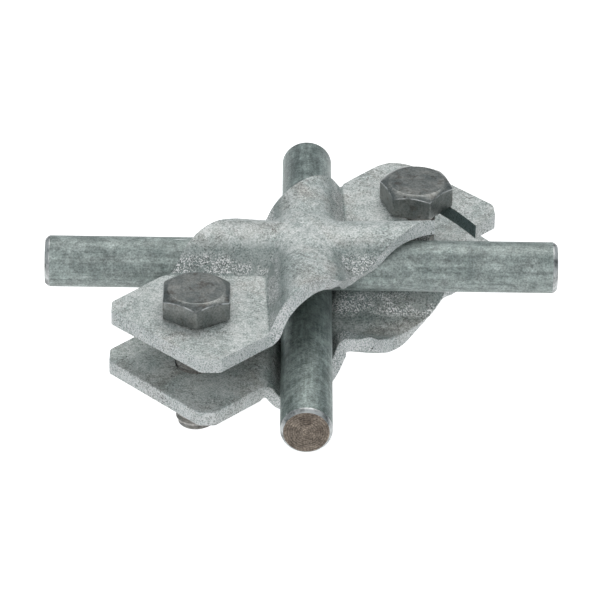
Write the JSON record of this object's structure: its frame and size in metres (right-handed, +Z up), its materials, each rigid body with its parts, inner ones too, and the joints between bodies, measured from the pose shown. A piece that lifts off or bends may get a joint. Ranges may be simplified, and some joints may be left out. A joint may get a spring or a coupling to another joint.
{
  "type": "cross clamp",
  "caption": "Cross clamp of pressed zinc-coated plates that grips round conductors at right angles, drawn together by hexagon bolts, one in a swing slot.",
  "frame": {"origin": "the point where the two round conductors touch, between the plates", "axes": "+Z up along the bolts, +X along the upper conductor towards its right end, +Y along the lower conductor towards its rear end"},
  "size_m": [0.1, 0.1, 0.0313],
  "materials": {
    "zinc_plate": "hot-dip zinc, mottled",
    "zinc_rod": "hot-dip zinc, cut ends bare",
    "bolt_steel": "dark zinc coating"
  },
  "bodies": {
    "base": {"lower_plate": "zinc_plate", "lower_rod": "zinc_rod", "upper_rod": "zinc_rod"},
    "cover": {"upper_plate": "zinc_plate"},
    "pivot_bolt": {"pivot_bolt": "bolt_steel"},
    "slot_bolt": {"slot_bolt": "bolt_steel"}
  },
  "joints": [
    {"name": "plate_lift", "type": "slide", "parent": "base", "child": "cover", "axis": [0, 0, 1], "range_m": [0, 0.01]},
    {"name": "pivot_bolt_turn", "type": "hinge", "parent": "cover", "child": "pivot_bolt", "pos_m": [-0.02121, -0.02121, 0.0073], "axis": [0, 0, 1], "range_deg": [0, 2880]},
    {"name": "slot_bolt_turn", "type": "hinge", "parent": "cover", "child": "slot_bolt", "pos_m": [0.0215, 0.01966, 0.0073], "axis": [0, 0, 1], "range_deg": [0, 2880]}
  ],
  "couplings": [
    {"joint": "pivot_bolt_turn", "follows": "plate_lift", "rad_per_m": 5026.5},
    {"joint": "slot_bolt_turn", "follows": "plate_lift", "rad_per_m": 5026.5}
  ]
}
